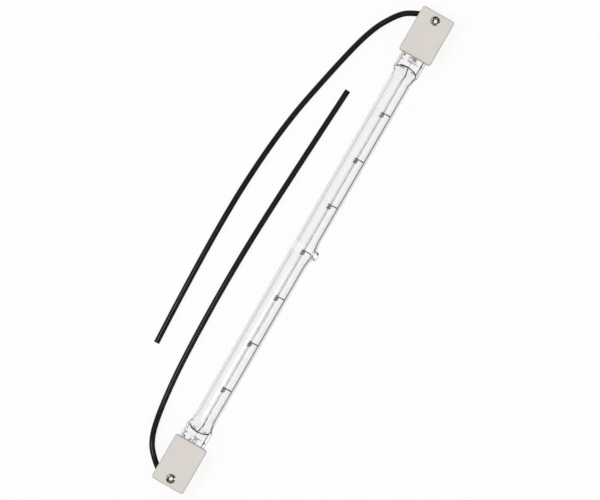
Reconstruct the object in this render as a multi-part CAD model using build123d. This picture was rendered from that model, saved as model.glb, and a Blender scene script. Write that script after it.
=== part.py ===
from build123d import *
import math
import os

# Quartz heating tube: a short-wave infrared lamp with a clear quartz tube pinched flat at both
# ends, a coiled filament held by seven wire supports, and a riveted ceramic block on each end
# with an insulated lead leaving its long side.
# Frame: X runs along the tube, Y points to the side where the leads leave, Z is up, and the
# blocks lie on Z = 0. X = 0 is the middle of the tube. All sizes are in millimetres.

# Whole lamp, over the outer faces of the ceramic blocks
OVERALL_LENGTH = 231.6

# Quartz tube
TUBE_D = 10.0
TUBE_WALL = 1.15
TUBE_LIFT = 0.3  # the blocks hold the tube this far above what they lie on

# Ceramic end blocks, each of two equal halves
BLOCK_LENGTH = 21.3
BLOCK_WIDTH = 15.3
BLOCK_CORNER = 1.1
BLOCK_EDGE = 0.35

# Flattened end of the tube; the last distances are taken inwards from the block's inner face
PINCH_SHORT = 13.3  # from the end of the pinch to the block's outer face
PINCH_WIDTH = 11.6
PINCH_WEB = 2.5
PINCH_BEAD_WIDTH = 1.1
PINCH_BEAD_HEIGHT = 3.2
PINCH_BEAD_EDGE = 0.35
FLARE_START = 9.5  # from the block to where the tube starts to flatten
FLARE_LENGTH = 2.7
CAVITY_END = 5.1  # from the block to the far end of the hollow
CAVITY_TAPER = 7.0  # length over which the hollow closes
CAVITY_WIDTH = 8.8
CAVITY_END_HEIGHT = 1.0
CAVITY_END_RADIUS = 9.35
RIDGE_PLACE = 2.05  # from the block to the pressed ridge across the pinch
RIDGE_WIDTH = 1.0
RIDGE_HEIGHT = 0.22

# Sealed exhaust tip on the side away from the leads, and the swelling it leaves in the wall
TIP_PLACE = 0.2
TIP_HALF_WIDTH = 2.06
TIP_HALF_HEIGHT = 1.6
TIP_REACH = 7.36  # from the tube's axis to the end of the tip
TIP_FLAT = 0.3  # radius of the small flat where the exhaust tube was drawn off
TIP_BULGE = 0.32  # how far the round end stands out from straight, as a share of its height
TIP_NECK = 1.6  # radius of the tip inside the wall
SWELL_LENGTH = 13.0
SWELL_HEIGHT = 0.75
SWELL_OFFSET = 0.8

# Filament coil, drawn as the sleeve that its fine turns fill
FILAMENT_D = 1.15
FILAMENT_BORE = 0.52
FILAMENT_SHORT = 4.4  # from the far end of the hollow to the end of the coil
FILAMENT_SAG = 0.5  # the coil lies this far off the tube's axis, towards the tip

# Wire supports that hold the filament off the tube wall
SUPPORT_COUNT = 7
SUPPORT_MARGIN = 17.5  # from the end of the coil to the outermost leg
SUPPORT_WIRE = 0.36
SUPPORT_TURNS = 2.5
SUPPORT_WINDING = 2.1
SUPPORT_TAIL = 0.55
SUPPORT_FOOT_ANGLE = 110.0
SUPPORT_FOOT_RUNS = 3
SUPPORT_CORNERS = 6  # straight runs that make one turn of the winding
SUPPORT_SIDES = 5  # flat sides of the supports' wire
SUPPORT_PLAY = 0.03

# Wires and foil sealed in the pinch
INNER_LEAD_D = 0.45
INNER_LEAD_IN_COIL = 3.0
INNER_LEAD_STRAIGHT = 0.8
INNER_LEAD_ON_FOIL = 2.6
FOIL_WIDTH = 3.9
FOIL_THICKNESS = 0.05
FOIL_START = 2.6  # from the block to the foil's inner end
FOIL_TAIL = 1.5  # glass left beyond the foil
OUTER_LEAD_D = 0.8
OUTER_LEAD_ON_FOIL = 1.2
OUTER_LEAD_STOP = 0.1  # the wire stops this far short of the conductor, inside the sleeve

# Crimp sleeve that joins the outer wire to the lead's conductor
SLEEVE_D = 2.1  # over the corners of its six flats
SLEEVE_LENGTH = 3.2
SLEEVE_GAP = 0.9  # from the end of the pinch to the sleeve

# Insulated leads
LEAD_D = 2.5
LEAD_SIDES = 16  # flats that stand in for the round insulation
CONDUCTOR_D = 1.4
CONDUCTOR_IN_SLEEVE = 1.5
CONDUCTOR_STRAIGHT = 1.0
STRIP_FROM_OUTER_FACE = 3.35  # where the insulation ends inside the block
STRIP_FROM_SIDE_FACE = 2.25
MOUTH_LEAN = 28.0  # degrees from square, the slant of the mouth that the lead leaves by
MOUTH_D = 4.0
BEND_SHARE = 0.45  # how much of the shorter run each bend of a lead takes

# Tubular rivet through both halves
RIVET_FROM_OUTER_FACE = 3.54
RIVET_SHANK_D = 2.5
RIVET_WALL = 0.3
RIVET_RIM_D = 4.1
RIVET_HEAD = 0.45
RIVET_PETALS = 6
RIVET_SLIT = 0.22
RIVET_RECESS = 0.7  # depth of the seat for the head in the lower half

# Flat sides of the section of the wires, of the bundled strands and of the crimp on them
WIRE_SIDES = 6

# Clearances
PINCH_PLAY = 0.15
SLEEVE_PLAY = 0.2
WIRE_PLAY = 0.15
LEAD_PLAY = 0.15
RIVET_PLAY = 0.1
RIM_PLAY = 0.2
CUT_OVER = 1.0  # how far a cutting tool runs past the face that it opens

# Places that follow from the sizes
AXIS_Z = TUBE_D / 2 + TUBE_LIFT
BLOCK_THICKNESS = 2 * AXIS_Z
OUTER_FACE = OVERALL_LENGTH / 2
INNER_FACE = OUTER_FACE - BLOCK_LENGTH
SIDE_FACE = BLOCK_WIDTH / 2
PINCH_END = OUTER_FACE - PINCH_SHORT
FLARE_X = INNER_FACE - FLARE_START
CAVITY_END_X = INNER_FACE - CAVITY_END
COIL_END_X = CAVITY_END_X - FILAMENT_SHORT
SUPPORT_PITCH = 2 * (COIL_END_X - SUPPORT_MARGIN) / (SUPPORT_COUNT - 1)
FOIL_INNER_X = INNER_FACE - FOIL_START
FOIL_OUTER_X = PINCH_END - FOIL_TAIL
FOIL_Z = AXIS_Z - OUTER_LEAD_D / 2 - FOIL_THICKNESS / 2  # the wires lie on the foil
INNER_LEAD_Z = FOIL_Z + FOIL_THICKNESS / 2 + INNER_LEAD_D / 2
SLEEVE_X = PINCH_END + SLEEVE_GAP
SLEEVE_END_X = SLEEVE_X + SLEEVE_LENGTH
RIVET_X = OUTER_FACE - RIVET_FROM_OUTER_FACE
STRIP_POINT = Vector(OUTER_FACE - STRIP_FROM_OUTER_FACE, SIDE_FACE - STRIP_FROM_SIDE_FACE, AXIS_Z)
LEAD_REST_Z = LEAD_D / 2

# Routes of the two leads, from where the insulation starts inside each block. Each point is the
# distance towards the tube's middle, the distance outwards, and the share of the drop from the
# block's middle to the floor that is still to go.
LEFT_ROUTE = [
    (3.2, 4.4, 1.0),
    (9.9, 10.2, 0.72),
    (23.0, 13.25, 0.15),
    (48.0, 15.6, 0.0),
    (94.0, 16.3, 0.0),
    (138.0, 14.4, 0.0),
    (180.75, 12.0, 0.0),
]
RIGHT_ROUTE = [
    (2.1, 5.85, 1.0),
    (6.8, 10.6, 0.76),
    (17.0, 16.4, 0.28),
    (36.0, 21.25, 0.02),
    (74.0, 28.9, 0.0),
    (126.1, 31.25, 0.0),
    (177.95, 28.85, 0.0),
]


def across(x, y=0.0, z=AXIS_Z):
    """A plane square to the tube at x, its own X towards +Y and its own Y upwards."""
    return Plane(origin=(x, y, z), x_dir=(0, 1, 0), z_dir=(1, 0, 0))


def rod(x_from, x_to, diameter, y=0.0, z=AXIS_Z):
    """A round bar along X between two places."""
    return extrude(across(x_from, y, z) * Circle(diameter / 2), x_to - x_from)


def flattening(stations):
    """A smooth body through ellipses square to X, each given as x, half width and half height."""
    return loft([(across(x) * Ellipse(wide, high)).face() for x, wide, high in stations])


def bent_wire(points, diameter, sides=WIRE_SIDES):
    """A wire with flat sides along straight runs, mitred at its bends."""
    path = Polyline(*points)
    start = Plane(origin=path @ 0, x_dir=(0, 0, 1), z_dir=path % 0)
    section = RegularPolygon(diameter / 2, sides)
    return sweep(start * section, path=path, transition=Transition.RIGHT)


def left_of(shape):
    """The same piece at the other end of the lamp."""
    return mirror(shape, about=Plane.YZ)


def pinch_section():
    """Section of the pinch: a thin web between two thicker edge beads."""
    bead_y = (PINCH_WIDTH - PINCH_BEAD_WIDTH) / 2
    web = Rectangle(PINCH_WIDTH - PINCH_BEAD_WIDTH, PINCH_WEB)
    bead = Rectangle(PINCH_BEAD_WIDTH, PINCH_BEAD_HEIGHT)
    bead = chamfer(bead.vertices(), PINCH_BEAD_EDGE)
    return web + Pos(bead_y, 0) * bead + Pos(-bead_y, 0) * bead


def flared_end():
    """Outside of one end: the tube flattens into the pinch, which carries a pressed ridge."""
    radius = TUBE_D / 2
    half_pinch = PINCH_WIDTH / 2
    half_web = PINCH_WEB / 2
    flare = flattening(
        [
            (FLARE_X, radius, radius),
            (FLARE_X + 0.5 * FLARE_LENGTH, 0.5 * (radius + half_pinch), 0.88 * radius),
            (FLARE_X + FLARE_LENGTH, half_pinch, 0.64 * radius),
            (FLARE_X + 1.55 * FLARE_LENGTH, half_pinch, 1.3 * half_web),
        ]
    )
    plate_x = FLARE_X + 1.25 * FLARE_LENGTH
    plate = extrude(across(plate_x) * pinch_section(), PINCH_END - plate_x)
    ridge_length = PINCH_WIDTH - 2 * PINCH_BEAD_WIDTH
    ridge = Box(RIDGE_WIDTH, ridge_length, PINCH_WEB + 2 * RIDGE_HEIGHT)
    ridge = chamfer(ridge.edges().filter_by(Axis.Y), RIDGE_HEIGHT, RIDGE_WIDTH / 3)
    return flare + plate + Pos(INNER_FACE - RIDGE_PLACE, 0, AXIS_Z) * ridge


def hollow_end():
    """One end of the hollow: it closes in height and stops at an edge that bows outwards."""
    bore = TUBE_D / 2 - TUBE_WALL
    half_end = CAVITY_WIDTH / 2
    start = CAVITY_END_X - CAVITY_TAPER
    past = CAVITY_END_X + 0.5
    taper = flattening(
        [
            (start, bore, bore),
            (start + 0.38 * CAVITY_TAPER, 0.5 * (bore + half_end), 0.83 * bore),
            (start + 0.68 * CAVITY_TAPER, half_end, 0.46 * bore),
            (past, half_end, CAVITY_END_HEIGHT / 2),
        ]
    )
    bow = Pos(CAVITY_END_X - CAVITY_END_RADIUS, 0, AXIS_Z)
    return taper & bow * Cylinder(CAVITY_END_RADIUS, TUBE_D)


def exhaust_tip():
    """The sealed tip and the swelling of the wall around it."""
    half = SWELL_LENGTH / 2
    peak = TUBE_D / 2 - SWELL_OFFSET + SWELL_HEIGHT
    foot = TUBE_D / 2 - SWELL_OFFSET - 0.2
    stations = [(-half, foot, foot), (0, peak, peak), (half, foot, foot)]
    widest_y = TIP_HALF_HEIGHT - TIP_REACH
    neck_y = TUBE_WALL / 2 - TUBE_D / 2
    bulge = (0.78 * TIP_HALF_WIDTH, TIP_BULGE * TIP_HALF_HEIGHT - TIP_REACH)
    end = ThreePointArc((TIP_FLAT, -TIP_REACH), bulge, (TIP_HALF_WIDTH, widest_y))
    rest = Polyline(
        (TIP_HALF_WIDTH, widest_y),
        (TIP_NECK, neck_y),
        (0, neck_y),
        (0, -TIP_REACH),
        (TIP_FLAT, -TIP_REACH),
    )
    tip = revolve(make_face(end + rest), axis=Axis.Y)
    swelling = Pos(TIP_PLACE, -SWELL_OFFSET, 0) * flattening(stations)
    return swelling + Pos(TIP_PLACE, 0, AXIS_Z) * tip


def inner_lead():
    """Dark straight wire from inside the coil into the pinch, where it lies on the foil."""
    points = [
        (COIL_END_X - INNER_LEAD_IN_COIL, -FILAMENT_SAG, AXIS_Z),
        (COIL_END_X + INNER_LEAD_STRAIGHT, -FILAMENT_SAG, AXIS_Z),
        (CAVITY_END_X - INNER_LEAD_STRAIGHT, 0, INNER_LEAD_Z),
        (FOIL_INNER_X + INNER_LEAD_ON_FOIL, 0, INNER_LEAD_Z),
    ]
    return bent_wire(points, INNER_LEAD_D)


def foil():
    """Thin sealing foil, buried in the pinch."""
    length = FOIL_OUTER_X - FOIL_INNER_X
    middle = (FOIL_OUTER_X + FOIL_INNER_X) / 2
    return Pos(middle, 0, FOIL_Z) * Box(length, FOIL_WIDTH, FOIL_THICKNESS)


def outer_lead():
    """Wire from the foil out of the end of the pinch."""
    start = Vector(FOIL_OUTER_X - OUTER_LEAD_ON_FOIL, 0, AXIS_Z)
    end = Vector(SLEEVE_END_X - CONDUCTOR_IN_SLEEVE - OUTER_LEAD_STOP, 0, AXIS_Z)
    return bent_wire([start, end], OUTER_LEAD_D)


def quartz_envelope(buried):
    """The quartz tube as one piece, hollow between its two pinches."""
    outside = rod(-FLARE_X, FLARE_X, TUBE_D) + flared_end() + left_of(flared_end())
    outside += exhaust_tip()
    bore_x = CAVITY_END_X - CAVITY_TAPER
    hollow = rod(-bore_x, bore_x, TUBE_D - 2 * TUBE_WALL) + hollow_end() + left_of(hollow_end())
    glass = outside - hollow
    for piece in buried:
        glass -= piece
    return glass


def filament():
    """Sleeve that the fine turns of the filament coil fill, open at both ends."""
    coil = rod(-COIL_END_X, COIL_END_X, FILAMENT_D, y=-FILAMENT_SAG)
    return coil - rod(-COIL_END_X, COIL_END_X, FILAMENT_BORE, y=-FILAMENT_SAG)


def support_winding(leg_x, radius):
    """Corners of the winding: it starts under the coil and ends above it, at the leg."""
    corners = round(SUPPORT_TURNS * SUPPORT_CORNERS)
    points = []
    for number in range(corners + 1):
        angle = 2 * math.pi * number / SUPPORT_CORNERS
        x = leg_x - SUPPORT_WINDING * (1 - number / corners)
        y = -FILAMENT_SAG + radius * math.sin(angle)
        points.append((x, y, AXIS_Z - radius * math.cos(angle)))
    return points


def filament_support(leg_x):
    """One support, bent from one wire: a tail, a winding round the coil, a leg and a foot."""
    turn = FILAMENT_D / 2 + SUPPORT_PLAY + SUPPORT_WIRE / 2
    turn /= math.cos(math.pi / SUPPORT_CORNERS)
    foot = TUBE_D / 2 - TUBE_WALL - SUPPORT_PLAY - SUPPORT_WIRE / 2
    winding = support_winding(leg_x, turn)
    tail = (winding[0][0], -FILAMENT_SAG - SUPPORT_TAIL, winding[0][2])
    points = [tail] + winding
    for number in range(SUPPORT_FOOT_RUNS + 1):
        angle = math.radians(SUPPORT_FOOT_ANGLE) * (0.5 - number / SUPPORT_FOOT_RUNS)
        reach = foot if number else foot - SUPPORT_WIRE / 2
        points.append((leg_x, -reach * math.cos(angle), AXIS_Z + reach * math.sin(angle)))
    return bent_wire(points, SUPPORT_WIRE, SUPPORT_SIDES)


def conductor_points(route):
    """Places along the stripped conductor, from inside the sleeve to the end of the insulation."""
    first = Vector(-route[0][0], route[0][1], 0).normalized()
    return [
        Vector(SLEEVE_END_X - CONDUCTOR_IN_SLEEVE, 0, AXIS_Z),
        Vector(SLEEVE_END_X + CONDUCTOR_STRAIGHT, 0, AXIS_Z),
        STRIP_POINT - first * CONDUCTOR_STRAIGHT,
        STRIP_POINT,
    ]


def conductor(route):
    """The lead's stripped strands, taken as one bundle that the crimp pressed to six flats."""
    return bent_wire(conductor_points(route), CONDUCTOR_D)


def crimp_sleeve():
    """Sleeve crimped to six flats, with a small bore for the wire and a large one for strands."""
    ends = [Vector(SLEEVE_X, 0, AXIS_Z), Vector(SLEEVE_END_X, 0, AXIS_Z)]
    strands = Vector(SLEEVE_END_X - CONDUCTOR_IN_SLEEVE, 0, AXIS_Z)
    sleeve = bent_wire(ends, SLEEVE_D) - bent_wire([strands, ends[1]], CONDUCTOR_D)
    return sleeve - bent_wire([ends[0], strands], OUTER_LEAD_D)


def channel(start, end, width):
    """A square channel along one straight run, with half a width more at each end."""
    run = end - start
    middle = (start + end) * 0.5
    return Plane(origin=middle, x_dir=run) * Box(run.length + width, width, width)


def block_cavities(route):
    """What is left open inside a block: pinch seat, sleeve chamber, wire and lead channels."""
    slot_length = PINCH_END - INNER_FACE + PINCH_PLAY + CUT_OVER
    slot = Box(slot_length, PINCH_WIDTH + 2 * PINCH_PLAY, PINCH_BEAD_HEIGHT + 2 * PINCH_PLAY)
    cavities = Pos(INNER_FACE - CUT_OVER + slot_length / 2, 0, AXIS_Z) * slot
    chamber = SLEEVE_D + 2 * SLEEVE_PLAY
    cavities += channel(Vector(PINCH_END, 0, AXIS_Z), Vector(SLEEVE_END_X, 0, AXIS_Z), chamber)
    wire = conductor_points(route)
    for start, end in zip(wire[1:], wire[2:]):
        cavities += channel(start, end, CONDUCTOR_D + 2 * WIRE_PLAY)
    lean = math.radians(MOUTH_LEAN)
    outwards = Vector(-math.sin(lean), math.cos(lean), 0)
    length = STRIP_FROM_SIDE_FACE / math.cos(lean) + CUT_OVER
    seat = Plane(origin=STRIP_POINT - outwards * 2 * LEAD_PLAY, z_dir=outwards)
    return cavities + extrude(seat * Circle(MOUTH_D / 2), length + 2 * LEAD_PLAY)


def ceramic_block(route):
    """Lower and upper half of the block on the right, parted level with the tube's axis."""
    middle_x = (INNER_FACE + OUTER_FACE) / 2
    half = Pos(middle_x, 0, AXIS_Z / 2) * Box(BLOCK_LENGTH, BLOCK_WIDTH, AXIS_Z)
    half = fillet(half.edges().filter_by(Axis.Z), BLOCK_CORNER)
    lower = chamfer(half.faces().sort_by(Axis.Z)[0].edges(), BLOCK_EDGE)
    upper = mirror(lower, about=Plane.XY.offset(AXIS_Z))
    cavities = block_cavities(route)
    hole = Pos(RIVET_X, 0, AXIS_Z) * Cylinder(RIVET_SHANK_D / 2 + RIVET_PLAY, 2 * BLOCK_THICKNESS)
    recess = Pos(RIVET_X, 0, 0) * Cylinder(RIVET_RIM_D / 2 + RIM_PLAY, 2 * RIVET_RECESS)
    cavities += hole + recess
    return lower - cavities, upper - cavities


def rivet():
    """Tubular rivet: a sunk flat head below and a rim on top, turned out and split in petals."""
    shank = RIVET_SHANK_D / 2
    bore = shank - RIVET_WALL
    rim = RIVET_RIM_D / 2
    head = RIVET_RECESS - RIVET_HEAD
    seat = BLOCK_THICKNESS
    curl = (rim - bore) / 2
    outline = Polyline(
        (bore, head),
        (rim, head),
        (rim, RIVET_RECESS),
        (shank, RIVET_RECESS),
        (shank, seat),
        (rim, seat),
        (rim - 0.6 * curl, seat + curl),
        (bore, seat),
        close=True,
    )
    body = revolve(Plane.XZ * make_face(outline), axis=Axis.Z)
    slit = Pos(shank + rim / 2, 0, seat + curl) * Box(rim, RIVET_SLIT, 2 * curl)
    for petal in range(RIVET_PETALS):
        body -= Rot(0, 0, petal * 360 / RIVET_PETALS) * slit
    return Pos(RIVET_X, 0, 0) * body


def route_points(route):
    """A lead's route in the lamp's frame, for the right end."""
    points = [STRIP_POINT]
    for inwards, outwards, drop in route:
        height = LEAD_REST_Z + drop * (AXIS_Z - LEAD_REST_Z)
        points.append(Vector(STRIP_POINT.X - inwards, STRIP_POINT.Y + outwards, height))
    return points


def lead(name, route):
    """An insulated lead: straight runs joined by arcs as large as the runs allow."""
    points = route_points(route)
    radii = []
    for before, corner, after in zip(points, points[1:], points[2:]):
        half_turn = math.radians((corner - before).get_angle(after - corner)) / 2
        run = min((corner - before).length, (after - corner).length)
        radii.append(BEND_SHARE * run / math.tan(half_turn))
    path = FilletPolyline(*points, radius=radii)
    section = RegularPolygon(LEAD_D / 2, LEAD_SIDES)
    solid = sweep(Plane(origin=path @ 0, z_dir=path % 0) * section, path=path)
    expected = section.area * path.length
    print(name, "length", round(path.length, 1), "radii", [round(r, 1) for r in radii])
    print(name, "volume over section times length", round(solid.volume / expected, 4))
    return solid


def save(name, shape):
    """Write one piece, which has to be a single solid."""
    if len(shape.solids()) != 1:
        raise ValueError(f"{name} has {len(shape.solids())} solids")
    export_step(shape.solid(), f"parts/{name}.step")


def main():
    os.makedirs("parts", exist_ok=True)
    wires = [inner_lead(), foil(), outer_lead()]
    save("quartz_envelope", quartz_envelope(wires + [left_of(wire) for wire in wires]))
    save("filament", filament())
    for number in range(SUPPORT_COUNT):
        leg_x = (number - (SUPPORT_COUNT - 1) / 2) * SUPPORT_PITCH
        save(f"filament_support_{number + 1}", filament_support(leg_x))
    for side, route in (("right", RIGHT_ROUTE), ("left", LEFT_ROUTE)):
        lower, upper = ceramic_block(route)
        pieces = {
            "inner_lead": wires[0],
            "foil": wires[1],
            "outer_lead": wires[2],
            "crimp_sleeve": crimp_sleeve(),
            "conductor": conductor(route),
            "base_lower": lower,
            "base_upper": upper,
            "rivet": rivet(),
            "lead": lead(f"lead_{side}", route),
        }
        for piece, shape in pieces.items():
            save(f"{piece}_{side}", shape if side == "right" else left_of(shape))


main()
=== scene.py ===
import math

import bpy
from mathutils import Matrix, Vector


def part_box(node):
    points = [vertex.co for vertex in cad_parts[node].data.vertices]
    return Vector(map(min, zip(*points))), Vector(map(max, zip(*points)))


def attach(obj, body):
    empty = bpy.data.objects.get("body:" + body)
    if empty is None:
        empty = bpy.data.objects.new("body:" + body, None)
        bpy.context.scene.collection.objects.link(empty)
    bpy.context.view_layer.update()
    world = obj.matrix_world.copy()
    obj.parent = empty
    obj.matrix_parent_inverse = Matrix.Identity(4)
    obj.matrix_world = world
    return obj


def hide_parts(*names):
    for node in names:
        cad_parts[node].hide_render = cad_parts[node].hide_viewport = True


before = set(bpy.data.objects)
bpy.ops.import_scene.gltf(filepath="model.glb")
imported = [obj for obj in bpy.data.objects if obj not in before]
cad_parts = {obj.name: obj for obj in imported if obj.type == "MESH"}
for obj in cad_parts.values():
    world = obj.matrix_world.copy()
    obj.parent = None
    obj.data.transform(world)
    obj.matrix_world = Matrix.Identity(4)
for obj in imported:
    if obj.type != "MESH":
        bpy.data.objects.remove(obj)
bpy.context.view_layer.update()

# Quartz heating tube on a white ground, seen from straight above. X runs along the tube, the
# leads leave towards +Y, and the ceramic blocks lie on Z = 0. Sizes are written in millimetres.
MM = 0.001

# Places that the solids give
ENVELOPE_LOW, ENVELOPE_HIGH = [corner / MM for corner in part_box("quartz_envelope")]
BLOCK_LOW, BLOCK_HIGH = [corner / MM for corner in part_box("base_lower_right")]
RIVET_LOW, RIVET_HIGH = [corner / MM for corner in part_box("rivet_right")]
COIL_LOW, COIL_HIGH = [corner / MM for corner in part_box("filament")]
AXIS_Z = (ENVELOPE_LOW.z + ENVELOPE_HIGH.z) / 2
TUBE_RADIUS = (ENVELOPE_HIGH.z - ENVELOPE_LOW.z) / 2
PINCH_END = ENVELOPE_HIGH.x
TIP_END_Y = ENVELOPE_LOW.y
INNER_FACE = BLOCK_LOW.x
OUTER_FACE = BLOCK_HIGH.x
SIDE_FACE = BLOCK_HIGH.y
BLOCK_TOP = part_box("base_upper_right")[1].z / MM
RIVET_X = (RIVET_LOW.x + RIVET_HIGH.x) / 2
COIL_Y = (COIL_LOW.y + COIL_HIGH.y) / 2
COIL_END = COIL_HIGH.x
COIL_RADIUS = (COIL_HIGH.y - COIL_LOW.y) / 2

# Camera: straight above, turned so that the tube crosses the picture as in the photograph
VIEW_TURN = math.radians(-59.98)
VIEW_CENTRE = (-0.68, 1.08)
VIEW_WIDTH = 255.3
VIEW_DISTANCE = 3000.0
SENSOR_WIDTH = 36.0
NEAREST_SEEN = 10.0
FURTHEST_SEEN = 20000.0

# Meshes
MERGE_GAP = 0.002
SHARP_EDGE = math.radians(40.0)
SHARP_WIRE_EDGE = math.radians(50.0)

# Leads
LEAD_D = 2.5
LEAD_STEPS = 24
LEAD_ROUNDING = 8
STRIP_FROM_OUTER_FACE = 3.35
STRIP_FROM_SIDE_FACE = 2.25

# Routes: inwards and outwards from the stripped end, then the share of the way up to the axis
LEFT_ROUTE = [
    (3.2, 4.4, 1.0),
    (9.9, 10.2, 0.72),
    (23.0, 13.25, 0.15),
    (48.0, 15.6, 0.0),
    (94.0, 16.3, 0.0),
    (138.0, 14.4, 0.0),
    (180.75, 12.0, 0.0),
]
RIGHT_ROUTE = [
    (2.1, 5.85, 1.0),
    (6.8, 10.6, 0.76),
    (17.0, 16.4, 0.28),
    (36.0, 21.25, 0.02),
    (74.0, 28.9, 0.0),
    (126.1, 31.25, 0.0),
    (177.95, 28.85, 0.0),
]

# Outside of the glass: flared, then pressed flat with beaded edges, a ridge and two dimples
GLASS_SIDES = 128
PINCH_HALF_WIDTH = ENVELOPE_HIGH.y
PINCH_HALF_WEB = 1.25
BEAD_WIDTH = 1.1
BEAD_HALF_HEIGHT = 1.6
BEAD_FULLNESS = 3  # the larger these two powers, the squarer the bead
BEAD_ROUNDING = 2.5
BEAD_JOIN = 8  # the larger this power, the sharper the corner between bead and web
FLARE_X = 85.0
FLARE_LENGTH = 2.7
FLATTEN_START = 84.2
FLATTEN_END = 89.6
FLATTEN_EASE = 0.35  # share of the flattening over which it sets in
FLATTEN_BOW = 0.068  # times the square of the offset, how much sooner the flat begins
RIDGE_X = 92.45
RIDGE_HALF_WIDTH = 0.5
RIDGE_HEIGHT = 0.22
DIMPLE_PLACES = [(91.65, 4.05), (93.55, 4.05)]
DIMPLE_RADIUS = 0.3
DIMPLE_DEPTH = 0.35
END_EDGE = 0.3

# Hollow in the glass
BORE_RADIUS = 3.85
CAVITY_END = 89.4
CAVITY_TAPER = 7.0
CAVITY_HALF_WIDTH = 4.4
CAVITY_WIDENING = 1.4  # how much faster the hollow widens than it flattens
CAVITY_END_HALF_HEIGHT = 0.55
CAVITY_ROUNDING = 0.6
CAVITY_BOW = 1.1

# Exhaust tip and the swelling of the wall that it leaves
SWELL_HALF_LENGTH = 6.5
SWELL_HEIGHT = 0.75
SWELL_INSIDE = 0.6
TIP_X = 0.2
TIP_HALF_WIDTH = 2.06
TIP_WIDEST_Y = -5.76
TIP_NECK = 1.6
TIP_ROOT_Y = -4.5
TIP_SIDES = 48
TIP_ROUND_STEPS = 12
TIP_NECK_STEPS = 6

# Where the rings of points along the glass lie closer, and how many each stretch has
CLOSE_TO_TIP = 8.0
CLOSE_TO_FLARE = 84.0
CLOSE_TO_RIDGE = 91.0
TIP_RINGS = 20
PLAIN_RINGS = 4
FLARE_RINGS = 30
RIDGE_RINGS = 24
ROUNDING_RINGS = 10

# Painted shade in the glass, dark strokes where refraction darkens it: start and end as distance
# from the middle and Y, half width, strength
STROKE_SOFT = 0.1
PINCH_SHADE_STROKES = [
    ((88.1, 4.5), (88.9, 3.4), 0.28, 1.0),
    ((88.9, 3.4), (89.3, 2.1), 0.4, 1.0),
    ((89.3, 2.1), (89.55, 0.3), 0.32, 1.0),
    ((89.55, 0.3), (89.4, -1.3), 0.22, 1.0),
    ((89.4, -1.3), (89.05, -2.8), 0.22, 0.95),
    ((89.05, -2.8), (88.1, -4.3), 0.32, 1.0),
    ((88.1, -4.3), (86.75, -5.0), 0.25, 0.95),
    ((87.85, 3.1), (88.25, 1.4), 0.25, 0.45),
    ((88.1, -2.1), (87.7, -2.95), 0.22, 0.5),
    ((81.5, -3.85), (84.2, -4.05), 0.15, 0.6),
    ((84.2, -4.05), (86.3, -4.5), 0.2, 0.8),
    ((87.6, 4.9), (94.6, 4.9), 0.22, 0.85),
    ((88.6, -4.5), (94.6, -4.6), 0.32, 0.75),
    ((91.4, -4.55), (93.2, -4.6), 0.32, 0.95),
    ((85.4, 5.2), (88.0, 5.7), 0.22, 0.6),
    ((88.0, 5.75), (94.6, 5.75), 0.15, 0.2),
    ((86.5, -5.35), (94.6, -5.6), 0.2, 0.25),
    ((91.95, 1.4), (92.05, -3.1), 0.24, 0.55),
    ((91.7, 4.1), (91.8, 4.05), 0.3, 0.9),
    ((93.5, 4.1), (93.65, 4.05), 0.32, 1.0),
]
TIP_SHADE_STROKES = [
    ((-0.85, -5.75), (-1.6, -6.0), 0.26, 1.0),
    ((-1.6, -6.0), (-1.15, -6.7), 0.26, 1.0),
    ((1.95, -5.85), (1.5, -6.4), 0.48, 1.0),
    ((-0.9, -4.95), (-0.2, -4.7), 0.28, 1.0),
    ((-0.5, -7.0), (1.0, -6.9), 0.2, 0.35),
]

# Filament coil and its supports
COIL_WIRE = 0.25
COIL_WIRE_SIDES = 6
COIL_PITCH = 0.42
COIL_STEPS = 12
SUPPORT_COUNT = 7
SUPPORT_WIRE = 0.36
SUPPORT_DRAWN = 0.46  # the wire as the photograph shows it
SUPPORT_TURNS = 2.5
SUPPORT_TURN_STEPS = 16
SUPPORT_WINDING = 2.1
SUPPORT_TAIL = 0.55
SUPPORT_FOOT_ANGLE = math.radians(110.0)
SUPPORT_FOOT_STEPS = 12
SUPPORT_PLAY = 0.03
WIRE_STEPS = 3
WIRE_ROUNDING = 3

# Inner leads, bent between these distances from the coil's end and from the hollow's end
INNER_LEAD_D = 0.45
INNER_LEAD_BENDS = (0.4, 1.2)

# Rivets: the shank and the head below, then the rim that is curled over on top
RIVET_BORE_RADIUS = 0.95
RIVET_SHANK_RADIUS = 1.25
RIVET_RIM_RADIUS = 2.05
RIVET_SIDES = 120
RIVET_HEAD = 0.45
RIVET_FACE_EDGE = 0.15  # height of the worn edges of the head's face
RIVET_HEAD_EDGE = 0.25  # width of the outer one
RIVET_BACK_EDGE = 0.05  # height of the edge at the head's back
RIVET_SMALL_EDGE = 0.1  # width of that edge and of the one at the bore
RIVET_CURL = 0.55
RIVET_CURL_STEPS = 12

# Torn rims, with radii and heights as shares of the whole rim's
RIVET_PETALS = 6
PETAL_REACH = 0.96
PETAL_REACH_CHANGE = 0.03
PETAL_REACH_WAVES = 5
PETAL_UNEVENNESS = 0.3
CREASE_SHARPNESS = 0.4
CREASE_HEIGHT = 0.4
PETAL_HEIGHT = 1.1
SPLIT_HALF_ANGLE = 0.36
SPLIT_REACH = 0.64
SPLIT_HEIGHT = 0.1
RIVET_HOLES = {  # radius of each torn hole at every eighth of a turn, and where its split is
    "right": ((0.75, 0.68, 0.45, 0.5, 1.15, 1.0, 0.85, 0.8), math.radians(-116.0)),
    "left": ((1.1, 0.6, 0.62, 0.95, 0.95, 0.9, 0.8, 0.68), math.radians(-66.0)),
}
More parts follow.
